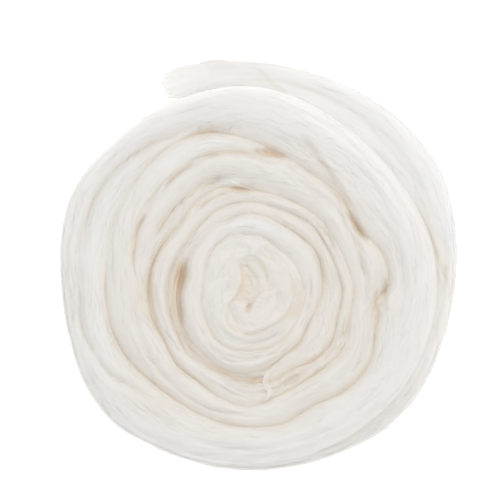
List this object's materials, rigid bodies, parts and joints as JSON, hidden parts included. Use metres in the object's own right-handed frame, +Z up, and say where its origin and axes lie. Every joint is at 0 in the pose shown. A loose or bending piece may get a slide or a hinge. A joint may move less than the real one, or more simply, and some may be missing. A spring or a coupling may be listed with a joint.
{
  "type": "wool roving",
  "caption": "Soft undyed wool roving, one thick combed strand wound flat into a round coil of overlapping turns, with a thin feathered loose end.",
  "frame": {"origin": "middle of the underside, on the surface the coil lies on", "axes": "+Z up through the flat coil; +Y towards the side where the loose end leaves; the strand winds inward clockwise as seen from above"},
  "size_m": [0.208, 0.215, 0.0349],
  "materials": {
    "combed_wool": "undyed combed wool, matte with a faint satin along the fibres"
  },
  "bodies": {
    "root": {"coil": "combed_wool", "loose_end": "combed_wool"}
  },
  "joints": []
}
